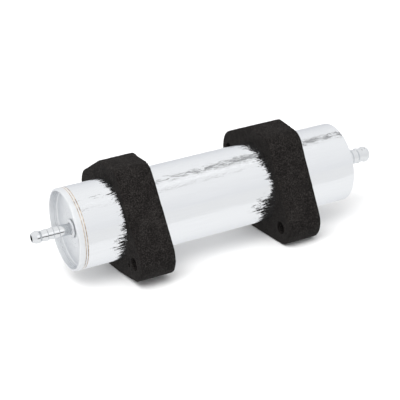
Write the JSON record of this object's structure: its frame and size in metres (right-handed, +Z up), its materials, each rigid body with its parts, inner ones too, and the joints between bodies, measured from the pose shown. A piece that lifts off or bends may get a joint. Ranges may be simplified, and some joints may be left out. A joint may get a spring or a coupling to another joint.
{
  "type": "inline filter",
  "caption": "Aluminium canister in-line liquid filter with a barbed hose stub at each end, a pleated paper element inside and lugged foam-rubber mounts that slide along it.",
  "frame": {"origin": "on the surface the mounts rest on, under the middle of the whole part", "axes": "+X along the canister towards its closed end and large stub, +Z up, +Y towards the raised lugs"},
  "size_m": [0.2524, 0.0931, 0.0757],
  "materials": {
    "bright_aluminium": "bright drawn aluminium with faint lengthwise streaks",
    "plated_steel": "zinc-plated steel",
    "seal_rubber": "matt black moulded rubber",
    "foam_rubber": "closed-cell foam rubber, matt, finely grained",
    "filter_paper": "resin-treated pleated filter paper",
    "adhesive": "cured potting adhesive"
  },
  "bodies": {
    "canister": {"housing_can": "bright_aluminium", "end_cover": "bright_aluminium", "cover_seal_ring": "seal_rubber", "cover_seam_bead": "bright_aluminium", "outlet_stub": "bright_aluminium", "outlet_stub_seal": "seal_rubber", "outlet_stub_ring": "bright_aluminium", "inlet_stub": "bright_aluminium", "inlet_stub_seal": "seal_rubber", "inlet_stub_ring": "bright_aluminium", "open_end_disc": "plated_steel", "closed_end_disc": "plated_steel", "open_end_potting": "adhesive", "closed_end_potting": "adhesive", "centre_tube": "plated_steel", "pleat_pack": "filter_paper", "pleat_clip": "plated_steel", "outlet_grommet": "seal_rubber", "element_spring": "plated_steel", "spring_seat": "plated_steel"},
    "front_mount": {"front_mount": "foam_rubber"},
    "rear_mount": {"rear_mount": "foam_rubber"}
  },
  "joints": [
    {"name": "front_mount_slide", "type": "slide", "parent": "canister", "child": "front_mount", "axis": [1, 0, 0], "range_m": [-0.024, 0.03]},
    {"name": "rear_mount_slide", "type": "slide", "parent": "canister", "child": "rear_mount", "axis": [1, 0, 0], "range_m": [-0.03, 0.034]}
  ]
}
